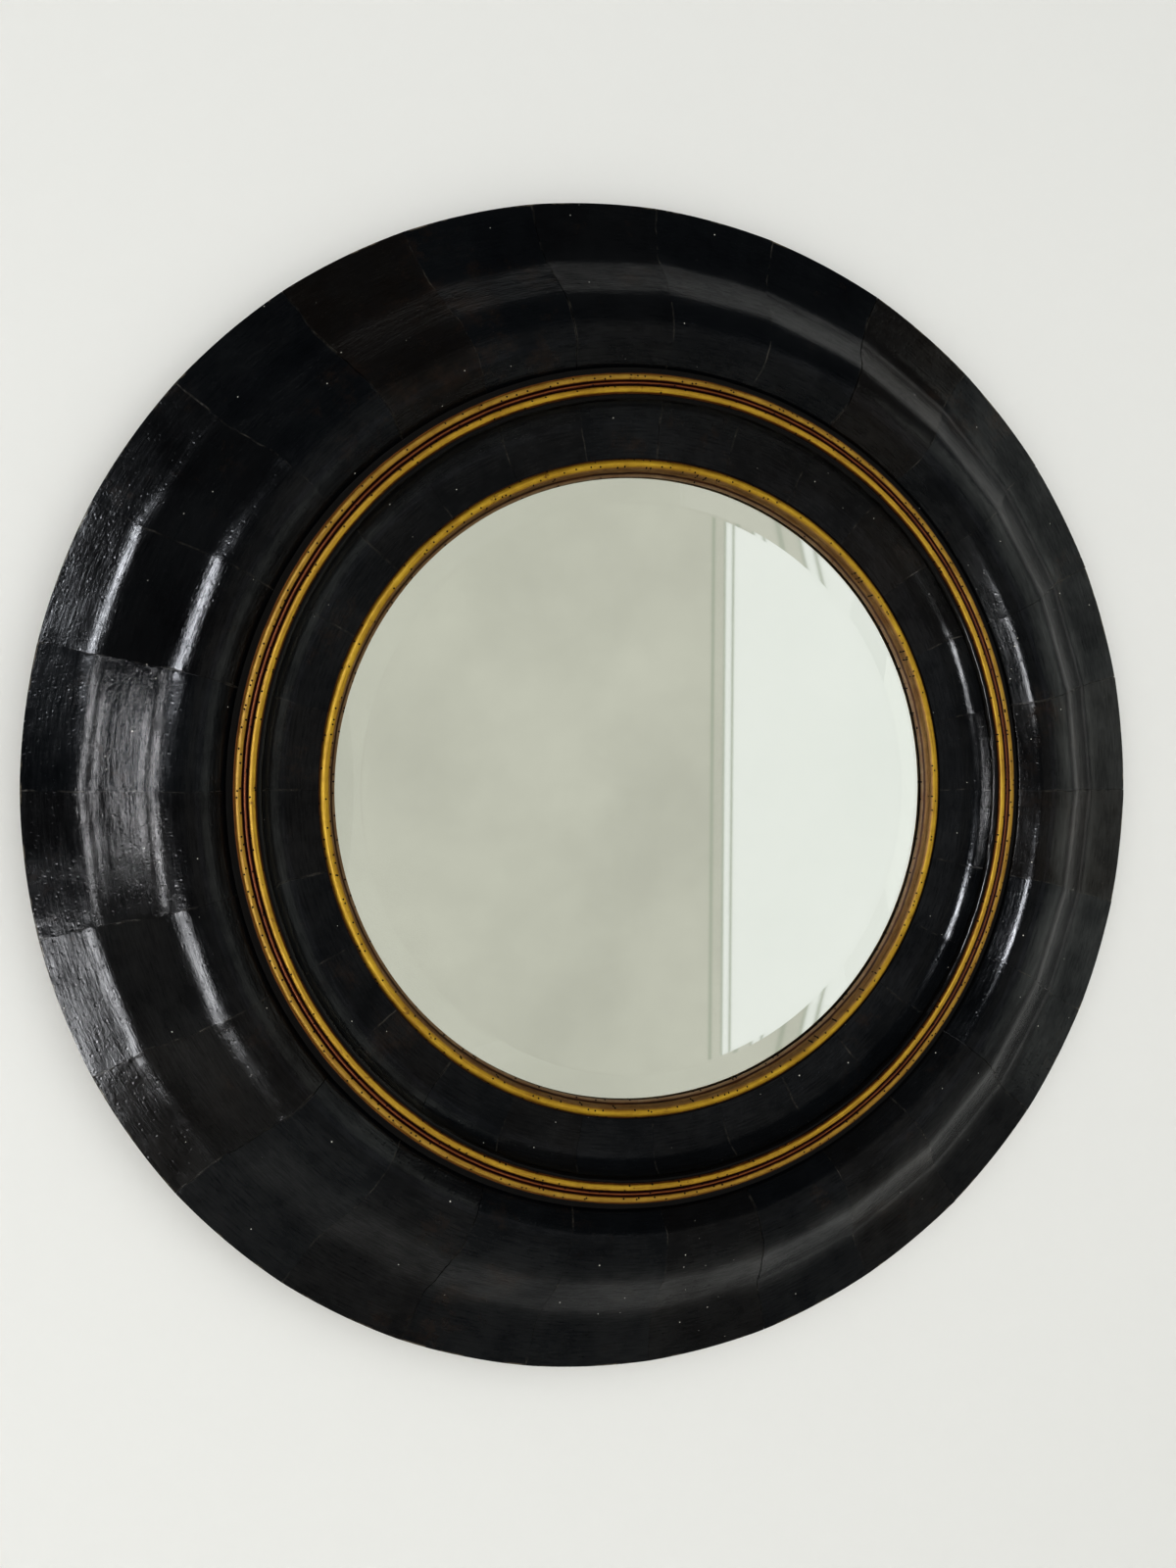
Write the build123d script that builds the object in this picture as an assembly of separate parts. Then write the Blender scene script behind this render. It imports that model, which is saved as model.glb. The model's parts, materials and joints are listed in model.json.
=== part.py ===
"""Round wall mirror in a wide ebonised frame with gilt mouldings, hung upright.

Lengths are millimetres: +Z up, the glass faces -Y, the wall is the plane y = 0 and the
origin is the centre of the mirror on that plane.  Rings are drawn as (radius, height)
sections, where height is measured forwards from the flat back of the frame.
"""
from build123d import *
from math import cos, hypot, radians, sin, sqrt
import os

# ---------------------------------------------------------------- driving dimensions
RIM_RADIUS = 500.0  # outer radius of the frame
PAD_HEIGHT = 8.0  # rubber pads hold the back of the frame this far off the wall
RIM_HEIGHT = 19.0  # front edge of the rim above the back
BACK_CHAMFER = 3.0

FACING_COUNT = 28  # facings in each band
FACING_THICKNESS = 1.2
SEAM_ANGLE = 0.03  # degrees left open between two facings

FELLOE_COUNT = 6  # felloes in each layer of the core
BACK_LAYER = 15.0  # thickness of the back layer, and depth of the glass rebate
REBATE_RADIUS = 276.0

CREST_HEIGHT = 64.2
OUTER_BAND = [(RIM_RADIUS, RIM_HEIGHT), (454.4, 24.2), (401.0, CREST_HEIGHT),
              (372.7, CREST_HEIGHT), (354.5, 46.0)]
OUTER_BAND_RADII = [45.0, 55.0, 24.0]
INNER_BAND = [(329.5, 47.2), (320.5, 30.0), (284.0, 26.1)]
INNER_BAND_RADII = [26.0]

REED_INNER, REED_OUTER = 331.6, 349.2  # sides of the triple reed's base
REED_BOTTOM, REED_TOP = 42.0, 48.6
REED_BEADS = [(345.15, 48.4, 3.15), (340.25, 49.3, 1.6), (335.35, 48.4, 3.15)]

SIGHT_RADIUS = 270.5  # edge of the slip over the glass
SLIP_RADIUS = 284.0
SLIP_BEAD = (279.0, 23.6, 4.2)
SLIP_COVE = (275.2, 21.0)  # where the cove under the bead begins
SLIP_COVE_RADIUS = 8.0
SLIP_LIP = 1.0  # thickness of the slip at its sight edge
SLIP_SHOULDER = 24.6  # height of the slip's outer side

GLASS_RADIUS, GLASS_THICKNESS = 274.0, 6.0
BEVEL_WIDTH, BEVEL_EDGE = 25.0, 3.2
FELT_INNER, FELT_THICKNESS = 271.5, 0.8
SILVER_THICKNESS = 0.3
CARD_THICKNESS = 1.7
BOARD_RADIUS = 275.0

PAD_RADIUS, PAD_FILLET = 9.0, 1.5
PAD_CIRCLE = 474.0
PAD_AZIMUTHS = [50.0, 130.0, 230.0, 310.0]

BUTTON_AZIMUTHS = [45.0, 135.0, 225.0, 315.0]
BUTTON_CIRCLE = 289.0  # pitch circle of the screws that the buttons turn on
BUTTON_LENGTH, BUTTON_WIDTH, BUTTON_THICKNESS = 38.0, 12.0, 2.2
BUTTON_GAP = 0.3  # under and over the button
BUTTON_CHAMFER = 0.5
SCREW_RADIUS, SCREW_HEAD_RADIUS, SCREW_DEPTH = 2.0, 4.0, 13.5
SCREW_TIP, SCREW_DOME = 4.0, 2.2
DOME_FULLNESS = 0.72  # where the dome bulges, as a share of its radius and of its rise
SLOT_WIDTH, SLOT_DEPTH = 1.0, 0.9
RUNNING_CLEARANCE = 0.1
PILOT_CLEARANCE = 0.1

HANGER_X, HANGER_Z = 372.0, 230.0  # axis of the hanging rings
WIRE_RADIUS = 1.75
RING_HALF_WIDTH, RING_LEG, RING_CORNER = 15.0, 12.0, 4.0
STRAP_WIDTH, STRAP_LENGTH, STRAP_THICKNESS = 18.0, 46.0, 1.5
STRAP_CORNER = 4.0
BARREL_INNER, BARREL_OUTER = 1.95, 3.45
STRAP_SCREW_DROPS = [16.0, 34.0]

PITCH = 360.0 / FACING_COUNT
FELLOE_ANGLE = 360.0 / FELLOE_COUNT
BACK_Y = -PAD_HEIGHT  # the flat back of the frame
BARREL_Y = BACK_Y + BARREL_OUTER  # axis of the hanging rings

GLASS_BACK = BACK_LAYER - FELT_THICKNESS - BEVEL_EDGE
GLASS_FRONT = GLASS_BACK + GLASS_THICKNESS
GLASS_FLAT_RADIUS = GLASS_RADIUS - BEVEL_WIDTH
BEVEL_FOOT = GLASS_BACK + BEVEL_EDGE
SILVER_BACK = GLASS_BACK - SILVER_THICKNESS
CARD_BACK = SILVER_BACK - CARD_THICKNESS


# ---------------------------------------------------------------- drawing helpers
def at(point):
    """A (radius, height) point as a place in the section plane."""
    return point[0], BACK_Y - point[1]


def inset(corners, radii, depth):
    """The same bent line, moved into the material by depth."""
    steps = [(b[0] - a[0], b[1] - a[1]) for a, b in zip(corners, corners[1:])]
    units = [(s[0] / hypot(*s), s[1] / hypot(*s)) for s in steps]
    normals = [(-u[1], u[0]) for u in units]
    moved = [(corners[0][0] + depth * normals[0][0], corners[0][1] + depth * normals[0][1])]
    bends = []
    for corner, radius, u, v, n, m in zip(
            corners[1:], radii, units, units[1:], normals, normals[1:]):
        turn = u[0] * v[1] - u[1] * v[0]
        reach = depth / (1.0 + n[0] * m[0] + n[1] * m[1])
        moved.append((corner[0] + reach * (n[0] + m[0]), corner[1] + reach * (n[1] + m[1])))
        bends.append(radius - depth if turn > 0 else radius + depth)
    moved.append((corners[-1][0] + depth * normals[-1][0], corners[-1][1] + depth * normals[-1][1]))
    return moved, bends


def bent_line(corners, radii):
    return FilletPolyline(*[at(c) for c in corners], radius=radii)


def straight_line(*points):
    return Polyline(*[at(p) for p in points])


def ring_of(section, start=0.0, angle=360.0):
    """Turn a section about the mirror's axis; azimuths run from +X towards +Z."""
    solid = revolve(section, Axis.Y, revolution_arc=angle)
    return solid.rotate(Axis.Y, -(start + angle))


def on_circle(shape, radius, azimuth):
    """Place a shape made at the origin, with +X outwards, on a circle about the axis."""
    return (Pos(radius, 0, 0) * shape).rotate(Axis.Y, -azimuth)


def turned(points):
    """A small turned part about the Y axis, from (radius, y) points."""
    return revolve(make_face(Polyline(*points, close=True)), Axis.Y)


def save(node, shape):
    shape.label = node
    export_step(shape, f"parts/{node}.step")


# ---------------------------------------------------------------- facings
def band_section(corners, radii):
    under, under_radii = inset(corners, radii, FACING_THICKNESS)
    outline = bent_line(corners, radii) + bent_line(under, under_radii)
    outline += straight_line(corners[0], under[0]) + straight_line(corners[-1], under[-1])
    return make_face(outline)


def facing(section, index):
    return ring_of(section, index * PITCH + SEAM_ANGLE / 2, PITCH - SEAM_ANGLE)


# ---------------------------------------------------------------- core
def front_layer_section():
    """Moulded front of the core: bands' undersides, the groove and the reed's seat."""
    outer, outer_radii = inset(OUTER_BAND, OUTER_BAND_RADII, FACING_THICKNESS)
    inner, inner_radii = inset(INNER_BAND, INNER_BAND_RADII, FACING_THICKNESS)
    outline = bent_line(outer, outer_radii) + bent_line(inner, inner_radii)
    outline += straight_line(outer[-1], (REED_OUTER, outer[-1][1]), (REED_OUTER, REED_BOTTOM),
                             (REED_INNER, REED_BOTTOM), (REED_INNER, inner[0][1]), inner[0])
    outline += straight_line(inner[-1], (inner[-1][0], BACK_LAYER), (outer[0][0], BACK_LAYER),
                             outer[0])
    return make_face(outline)


def back_layer_section():
    outline = straight_line((REBATE_RADIUS, 0), (RIM_RADIUS - BACK_CHAMFER, 0),
                            (RIM_RADIUS, BACK_CHAMFER), (RIM_RADIUS, BACK_LAYER),
                            (REBATE_RADIUS, BACK_LAYER), (REBATE_RADIUS, 0))
    return make_face(outline)


def screw_places():
    """(x, z) of every screw in the back of the frame."""
    places = [(BUTTON_CIRCLE * cos(radians(a)), BUTTON_CIRCLE * sin(radians(a)))
              for a in BUTTON_AZIMUTHS]
    places += [(side * HANGER_X, HANGER_Z - drop) for side in (-1, 1) for drop in STRAP_SCREW_DROPS]
    return places


def pilot_holes():
    depth = SCREW_DEPTH + PILOT_CLEARANCE
    hole = turned([(0, BACK_Y), (SCREW_RADIUS + PILOT_CLEARANCE, BACK_Y),
                   (SCREW_RADIUS + PILOT_CLEARANCE, BACK_Y - depth), (0, BACK_Y - depth)])
    return [Pos(x, 0, z) * hole for x, z in screw_places()]


# ---------------------------------------------------------------- gilt mouldings
def reed_section():
    section = make_face(straight_line((REED_INNER, REED_BOTTOM), (REED_OUTER, REED_BOTTOM),
                                      (REED_OUTER, REED_TOP), (REED_INNER, REED_TOP),
                                      (REED_INNER, REED_BOTTOM)))
    for radius, height, bead in REED_BEADS:
        section += Pos(*at((radius, height))) * Circle(bead)
    return section


def slip_section():
    """Half-round bead with a cove below it that runs down to the glass."""
    bead_radius, bead_height, bead = SLIP_BEAD
    foot = (SIGHT_RADIUS, BACK_LAYER)
    lip = (SIGHT_RADIUS, BACK_LAYER + SLIP_LIP)
    shoulder = (SLIP_RADIUS, SLIP_SHOULDER)
    outline = straight_line(lip, foot, (SLIP_RADIUS, BACK_LAYER), shoulder,
                            (bead_radius, bead_height), SLIP_COVE)
    hollow = RadiusArc(at(SLIP_COVE), at(lip), -SLIP_COVE_RADIUS)
    section = make_face(outline + hollow)
    return section + Pos(*at((bead_radius, bead_height))) * Circle(bead)


# ---------------------------------------------------------------- glass and backing
def disc_section(radius, low, high):
    return make_face(straight_line((0, low), (radius, low), (radius, high), (0, high), (0, low)))


def glass_section():
    return make_face(straight_line((0, GLASS_BACK), (GLASS_RADIUS, GLASS_BACK),
                                   (GLASS_RADIUS, BEVEL_FOOT), (GLASS_FLAT_RADIUS, GLASS_FRONT),
                                   (0, GLASS_FRONT), (0, GLASS_BACK)))


def felt_section():
    """Strip between the slip and the bevel; its underside lies on the bevel."""
    rise = (GLASS_FRONT - BEVEL_FOOT) / BEVEL_WIDTH * (GLASS_RADIUS - FELT_INNER)
    return make_face(straight_line((FELT_INNER, BACK_LAYER), (REBATE_RADIUS, BACK_LAYER),
                                   (REBATE_RADIUS, BEVEL_FOOT), (GLASS_RADIUS, BEVEL_FOOT),
                                   (FELT_INNER, BEVEL_FOOT + rise), (FELT_INNER, BACK_LAYER)))


# ---------------------------------------------------------------- back fittings
def pad():
    """Rubber pad on the back of the frame; its outer face touches the wall."""
    column = Pos(0, -PAD_HEIGHT / 2, 0) * Rot(90, 0, 0) * Cylinder(PAD_RADIUS, PAD_HEIGHT)
    return fillet(column.edges().sort_by(Axis.Y)[-1], PAD_FILLET)


def turn_button():
    """Flat brass button: the hole is at the origin and the long arm points along -X."""
    reach = (BUTTON_LENGTH - BUTTON_WIDTH) / 2
    outline = Pos(-reach, 0) * SlotOverall(BUTTON_LENGTH, BUTTON_WIDTH)
    outline -= Circle(SCREW_RADIUS + RUNNING_CLEARANCE)
    plane = Plane.XZ.offset(-(BACK_Y + BUTTON_GAP + BUTTON_THICKNESS))
    plate = extrude(plane * outline, BUTTON_THICKNESS)
    top = plate.faces().sort_by(Axis.Y)[-1]
    return chamfer(top.outer_wire().edges(), BUTTON_CHAMFER)


def screw_slot(y_top):
    return Pos(0, y_top, 0) * Box(4 * SCREW_HEAD_RADIUS, 2 * SLOT_DEPTH, SLOT_WIDTH)


def round_head_screw():
    """Screw that a button turns on; the head stands clear of the button."""
    seat = BACK_Y + 2 * BUTTON_GAP + BUTTON_THICKNESS
    tip = BACK_Y - SCREW_DEPTH
    profile = Polyline((0, tip), (SCREW_RADIUS, tip + SCREW_TIP), (SCREW_RADIUS, seat),
                       (SCREW_HEAD_RADIUS, seat))
    dome = ThreePointArc((SCREW_HEAD_RADIUS, seat),
                         (SCREW_HEAD_RADIUS * DOME_FULLNESS, seat + SCREW_DOME * DOME_FULLNESS),
                         (0, seat + SCREW_DOME))
    section = make_face(profile + dome + Line((0, seat + SCREW_DOME), (0, tip)))
    return revolve(section, Axis.Y) - screw_slot(seat + SCREW_DOME)


def flat_head_screw(margin=0.0):
    """Countersunk screw of a strap; margin makes the matching hole."""
    top = BACK_Y + STRAP_THICKNESS
    tip = BACK_Y - SCREW_DEPTH
    head, shank = SCREW_HEAD_RADIUS + margin, SCREW_RADIUS + margin
    screw = turned([(0, tip), (shank, tip + SCREW_TIP), (shank, BACK_Y), (head, top), (0, top)])
    return screw if margin else screw - screw_slot(top)


def strap():
    """Strap folded round the ring's bar; the ring's axis is the X axis at BARREL_Y."""
    tail = Pos(0, -STRAP_LENGTH / 2) * RectangleRounded(STRAP_WIDTH, STRAP_LENGTH, STRAP_CORNER)
    plate = extrude(Plane.XZ.offset(-(BACK_Y + STRAP_THICKNESS)) * tail, STRAP_THICKNESS)
    across = Pos(0, BARREL_Y, 0) * Rot(0, 90, 0)
    body = plate + across * Cylinder(BARREL_OUTER, STRAP_WIDTH)
    body -= across * Cylinder(BARREL_INNER, STRAP_WIDTH)
    for drop in STRAP_SCREW_DROPS:
        body -= Pos(0, 0, -drop) * flat_head_screw(PILOT_CLEARANCE)
    return body


def hanging_ring():
    """D-shaped steel ring that hangs from its bar in the barrel of the strap."""
    wide, leg, bend = RING_HALF_WIDTH, RING_LEG, RING_CORNER
    half = sqrt(0.5)
    path = (Line((-wide + bend, 0), (wide - bend, 0))
            + ThreePointArc((wide - bend, 0), (wide - bend + bend * half, -bend + bend * half),
                            (wide, -bend))
            + Line((wide, -bend), (wide, -leg))
            + ThreePointArc((wide, -leg), (0, -leg - wide), (-wide, -leg))
            + Line((-wide, -leg), (-wide, -bend))
            + ThreePointArc((-wide, -bend), (-wide + bend - bend * half, -bend + bend * half),
                            (-wide + bend, 0)))
    upright = Plane((0, BARREL_Y, 0), x_dir=(1, 0, 0), z_dir=(0, -1, 0))
    wire = Wire([upright.from_local_coords(edge) for edge in path.edges()])
    start = Plane(wire @ 0, z_dir=wire % 0)
    return sweep(start * Circle(WIRE_RADIUS), path=wire)


# ---------------------------------------------------------------- build
def build():
    os.makedirs("parts", exist_ok=True)

    outer_section = band_section(OUTER_BAND, OUTER_BAND_RADII)
    for index in range(FACING_COUNT):
        save(f"outer_facing_{index + 1:02d}", facing(outer_section, index))
    inner_section = band_section(INNER_BAND, INNER_BAND_RADII)
    save("inner_facings", Compound([facing(inner_section, i) for i in range(FACING_COUNT)]))

    front, back = front_layer_section(), back_layer_section()
    holes = pilot_holes()
    for index in range(FELLOE_COUNT):
        start = index * FELLOE_ANGLE
        felloe = ring_of(back, start, FELLOE_ANGLE)
        for hole in holes:
            felloe -= hole
        save(f"back_felloe_{index + 1}", felloe)
        save(f"front_felloe_{index + 1}", ring_of(front, start + FELLOE_ANGLE / 2, FELLOE_ANGLE))

    save("gilt_reed", ring_of(reed_section()))
    save("gilt_slip", ring_of(slip_section()))
    save("glazing_felt", ring_of(felt_section()))
    save("bevelled_glass", ring_of(glass_section()))
    save("silvering", ring_of(disc_section(GLASS_RADIUS, SILVER_BACK, GLASS_BACK)))
    save("backing_card", ring_of(disc_section(GLASS_RADIUS, CARD_BACK, SILVER_BACK)))
    save("backboard", ring_of(disc_section(BOARD_RADIUS, 0, CARD_BACK)))

    save("wall_pads", Compound([on_circle(pad(), PAD_CIRCLE, a) for a in PAD_AZIMUTHS]))
    for index, azimuth in enumerate(BUTTON_AZIMUTHS):
        save(f"turn_button_{index + 1}", on_circle(turn_button(), BUTTON_CIRCLE, azimuth))
    save("button_screws", Compound([on_circle(round_head_screw(), BUTTON_CIRCLE, a)
                                    for a in BUTTON_AZIMUTHS]))

    for name, side in (("left", -1), ("right", 1)):
        spot = Pos(side * HANGER_X, 0, HANGER_Z)
        save(f"hanger_strap_{name}", spot * strap())
        save(f"hanging_ring_{name}", spot * hanging_ring())
    save("strap_screws", Compound([Pos(side * HANGER_X, 0, HANGER_Z - drop) * flat_head_screw()
                                   for side in (-1, 1) for drop in STRAP_SCREW_DROPS]))


build()
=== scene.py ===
"""Looks of a round wall mirror: black shellacked facings, gilt reed and slip, bevelled plate glass.

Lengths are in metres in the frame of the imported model: +Z up, the glass faces -Y, and the wall is
the plane y = 0.
Rings are described by (radius, height) in millimetres, the height forwards from the frame's back.
"""
import bpy
import json
from math import asin, atan2, cos, degrees, pi, radians, sin, tan
from mathutils import Matrix, Vector


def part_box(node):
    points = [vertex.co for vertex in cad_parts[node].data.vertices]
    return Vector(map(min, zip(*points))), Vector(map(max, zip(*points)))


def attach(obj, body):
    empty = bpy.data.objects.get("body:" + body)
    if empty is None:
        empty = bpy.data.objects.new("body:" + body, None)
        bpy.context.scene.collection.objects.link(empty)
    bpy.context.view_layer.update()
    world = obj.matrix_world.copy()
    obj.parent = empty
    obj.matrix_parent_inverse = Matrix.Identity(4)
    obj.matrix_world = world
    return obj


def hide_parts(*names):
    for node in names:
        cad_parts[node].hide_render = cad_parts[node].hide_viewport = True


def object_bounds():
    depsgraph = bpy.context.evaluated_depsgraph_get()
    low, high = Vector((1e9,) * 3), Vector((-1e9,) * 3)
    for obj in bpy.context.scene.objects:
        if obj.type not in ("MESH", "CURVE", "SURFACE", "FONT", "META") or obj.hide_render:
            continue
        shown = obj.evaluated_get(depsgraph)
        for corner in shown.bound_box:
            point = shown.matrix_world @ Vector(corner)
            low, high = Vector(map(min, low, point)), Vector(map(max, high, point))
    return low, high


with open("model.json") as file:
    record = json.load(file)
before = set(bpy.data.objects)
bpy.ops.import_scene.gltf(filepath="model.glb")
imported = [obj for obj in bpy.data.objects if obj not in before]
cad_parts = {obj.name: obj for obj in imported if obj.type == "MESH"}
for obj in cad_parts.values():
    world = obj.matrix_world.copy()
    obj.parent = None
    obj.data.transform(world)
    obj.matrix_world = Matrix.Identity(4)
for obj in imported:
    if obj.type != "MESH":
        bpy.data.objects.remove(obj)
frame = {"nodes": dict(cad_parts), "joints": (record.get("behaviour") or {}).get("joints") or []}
cad_low, cad_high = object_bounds()

MM = 0.001
BACK_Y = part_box("backboard")[1].y  # the flat back of the frame
RIM_RADIUS = cad_high.x / MM
BODY = "framed_mirror"

# ---------------------------------------------------------------- sections of the frame
FACING_COUNT = 28
FACING_THICKNESS = 1.1
SEAM_GAP = 0.25  # at the rim
OUTER_BAND = [(RIM_RADIUS, 19.0), (454.4, 24.2), (401.0, 64.2), (372.7, 64.2), (354.5, 46.0)]
OUTER_BAND_RADII = [45.0, 55.0, 24.0]
INNER_BAND = [(329.5, 47.2), (320.5, 30.0), (284.3, 26.1)]
INNER_BAND_RADII = [26.0]

REED_INNER, REED_OUTER = 331.6, 349.2
REED_BOTTOM, REED_TOP = 42.0, 48.6
REED_BEADS = [(345.15, 48.4, 3.15), (340.25, 49.3, 1.6), (335.35, 48.4, 3.15)]

SIGHT_RADIUS, SLIP_RADIUS = 270.5, 284.0
SLIP_BOTTOM, SLIP_SHOULDER = 15.0, 24.6
SLIP_BEAD = (279.0, 23.6, 4.2)
SLIP_COVE, SLIP_COVE_HOLLOW, SLIP_LIP = (275.3, 21.2), (274.4, 17.0), (270.5, 16.0)

GLASS_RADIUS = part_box("bevelled_glass")[1].x / MM
GLASS_BACK = (BACK_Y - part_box("bevelled_glass")[1].y) / MM
GLASS_FRONT = (BACK_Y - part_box("bevelled_glass")[0].y) / MM
BEVEL_WIDTH, BEVEL_EDGE, ARRIS = 25.0, 3.2, 0.25

# ---------------------------------------------------------------- small tools


def tint(code):
    """An sRGB hex colour as linear RGBA."""
    parts = [int(code[i:i + 2], 16) / 255 for i in (1, 3, 5)]
    return (*[c / 12.92 if c <= 0.04045 else ((c + 0.055) / 1.055) ** 2.4 for c in parts], 1.0)


def feed(tree, node, inputs):
    """Set a node's inputs, which are constants or the sockets of other nodes."""
    for key, value in inputs.items():
        if isinstance(value, bpy.types.NodeSocket):
            tree.links.new(value, node.inputs[key])
        else:
            node.inputs[key].default_value = value


def add(tree, kind, inputs=None, **settings):
    """Add a node and feed its inputs."""
    new = tree.nodes.new(kind)
    for name, value in settings.items():
        setattr(new, name, value)
    feed(tree, new, inputs or {})
    return new


def live_output(node):
    """The one output that the node's data type leaves switched on."""
    return next(s for s in node.outputs if s.enabled)


def sums(tree, operation, *values):
    """The result of one operation on numbers."""
    node = add(tree, "ShaderNodeMath", dict(enumerate(values)), operation=operation)
    return node.outputs["Value"]


def vector_sum(tree, operation, first, second):
    """The result of one operation on vectors; SCALE takes a number as its second value."""
    key = "Scale" if operation == "SCALE" else 1
    node = add(tree, "ShaderNodeVectorMath", {0: first, key: second}, operation=operation)
    return node.outputs["Vector"]


def centred(tree, value):
    """Noise moved so that it lies evenly about nought."""
    return sums(tree, "SUBTRACT", value, 0.5)


def fit(tree, value, low, high, to_low=0.0, to_high=1.0, **settings):
    """Carry the range from low to high over to another range and hold it at both ends."""
    return add(tree, "ShaderNodeMapRange", {
        "Value": value, "From Min": low, "From Max": high, "To Min": to_low, "To Max": to_high},
        **settings).outputs["Result"]


def place(radius, height, azimuth=0.0):
    """A point of the frame, from millimetres and an angle that runs from +X towards +Z."""
    return Vector((radius * cos(azimuth) * MM, BACK_Y - height * MM, radius * sin(azimuth) * MM))


def bent_line(corners, radii, step):
    """Points along straight runs with a round bend at each corner, about step apart."""
    corners = [Vector(c) for c in corners]
    points = [corners[0]]

    def run_to(end):
        start = points[-1]
        count = max(1, round((end - start).length / step))
        points.extend(start.lerp(end, k / count) for k in range(1, count + 1))

    for before, corner, after, radius in zip(corners, corners[1:], corners[2:], radii):
        u, v = (corner - before).normalized(), (after - corner).normalized()
        turn = atan2(u.x * v.y - u.y * v.x, u.dot(v))
        reach = radius * tan(abs(turn) / 2)
        run_to(corner - u * reach)
        start, side = points[-1], 1 if turn > 0 else -1
        centre = start + Vector((-u.y, u.x)) * radius * side
        count = max(2, round(abs(turn) * radius / step))
        for k in range(1, count + 1):
            points.append(centre + Matrix.Rotation(turn * k / count, 2) @ (start - centre))
    run_to(corners[-1])
    return points


def arc(centre_radius, centre_height, radius, start, end, count):
    """Points of an arc in a section; angles in degrees from the outward direction."""
    spots = []
    for k in range(count + 1):
        angle = radians(start + (end - start) * k / count)
        spots.append((centre_radius + radius * cos(angle), centre_height + radius * sin(angle)))
    return spots


def soft_bend(start, pull, end, count):
    """Points of a curve from start to end that leans towards pull."""
    start, pull, end = Vector(start), Vector(pull), Vector(end)
    return [tuple(start.lerp(pull, t).lerp(pull.lerp(end, t), t))
            for t in (k / count for k in range(count + 1))]


def finish_piece(piece, body, slot, *nodes):
    """Put a finished piece on its body and hide the CAD nodes it stands for; slot is not used."""
    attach(piece, body)
    if nodes:
        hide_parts(*nodes)
    return piece


def new_tree(name, inputs):
    """An empty geometry tree with named inputs: a list of (name, kind of socket)."""
    tree = bpy.data.node_groups.new(name, "GeometryNodeTree")
    tree.interface.new_socket("Geometry", in_out="INPUT", socket_type="NodeSocketGeometry")
    for label, kind in inputs:
        tree.interface.new_socket(label, in_out="INPUT", socket_type="NodeSocket" + kind)
    tree.interface.new_socket("Geometry", in_out="OUTPUT", socket_type="NodeSocketGeometry")
    entry = add(tree, "NodeGroupInput")
    return tree, entry.outputs


def close_tree(tree, geometry, material):
    """End a tree in Realize Instances and Set Material."""
    real = add(tree, "GeometryNodeRealizeInstances", {"Geometry": geometry})
    dressed = add(tree, "GeometryNodeSetMaterial",
                  {"Geometry": real.outputs["Geometry"], "Material": material})
    add(tree, "NodeGroupOutput", {"Geometry": dressed.outputs["Geometry"]})


def new_object(name, data):
    """An object in the scene's own collection."""
    made = bpy.data.objects.new(name, data)
    bpy.context.scene.collection.objects.link(made)
    return made


def applied_mesh(thing):
    """A plain copy of an object's mesh as its modifiers leave it."""
    bpy.context.view_layer.update()
    live = thing.evaluated_get(bpy.context.evaluated_depsgraph_get())
    return bpy.data.meshes.new_from_object(live)


def grow(name, base, tree, values, sharp=35.0):
    """Run a tree on a base mesh and keep the result as one plain mesh piece."""
    seed = new_object(name + "_seed", base)
    modifier = seed.modifiers.new("grow", "NODES")
    modifier.node_group = tree
    sockets = {s.name: s.identifier for s in tree.interface.items_tree if s.in_out == "INPUT"}
    for label, value in values.items():
        modifier[sockets[label]] = value
    mesh = applied_mesh(seed)
    bpy.data.objects.remove(seed)
    mesh.name = name
    mesh.polygons.foreach_set("use_smooth", [True] * len(mesh.polygons))
    mesh.set_sharp_from_angle(angle=radians(sharp))
    return new_object(name, mesh)


def shell(name, points, faces):
    """A mesh of points and faces."""
    mesh = bpy.data.meshes.new(name)
    mesh.from_pydata(points, [], faces)
    mesh.update()
    return mesh


def box_shell(name, low, high):
    """The mesh of a box between two opposite corners."""
    corners = [(x, y, z) for x in (low[0], high[0]) for y in (low[1], high[1])
               for z in (low[2], high[2])]
    return shell(name, corners, [(0, 1, 3, 2), (4, 6, 7, 5), (0, 4, 5, 1), (2, 3, 7, 6),
                                 (0, 2, 6, 4), (1, 5, 7, 3)])


# ---------------------------------------------------------------- finishes
FLY_CELL = 0.0068  # metres; a little over half of the cells hold a flyspeck
PINE_RING = 0.0062  # metres from one growth ring to the next
RIM_WEAR_AND_HIGHLIGHT_WIDTH = 1.2  # millimetres


def finish(name):
    """A new material, with its tree and its shader."""
    material = bpy.data.materials.new(name)
    material.use_nodes = True
    tree = material.node_tree
    return material, tree, tree.nodes["Principled BSDF"]


def object_place(tree):
    """Where a point lies on its piece; every pattern is read from it."""
    return add(tree, "ShaderNodeTexCoord").outputs["Object"]


def noise(tree, place_socket, scale, detail=4.0, rough=0.6, stretch=(1, 1, 1)):
    """Noise of a given scale per metre, packed closer along each axis by stretch."""
    at = add(tree, "ShaderNodeMapping", {"Vector": place_socket, "Scale": stretch})
    return add(tree, "ShaderNodeTexNoise", {"Vector": at.outputs["Vector"], "Scale": scale,
                                            "Detail": detail, "Roughness": rough}).outputs["Fac"]


def ramp(tree, factor, stops):
    """Colour ramp; stops are (position, hex colour or grey level)."""
    node = add(tree, "ShaderNodeValToRGB", {"Fac": factor})
    band = node.color_ramp
    while len(band.elements) < len(stops):
        band.elements.new(0.5)
    for element, (position, colour) in zip(band.elements, stops):
        element.position = position
        element.color = tint(colour) if isinstance(colour, str) else (colour, colour, colour, 1)
    return node.outputs["Color"]


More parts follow.
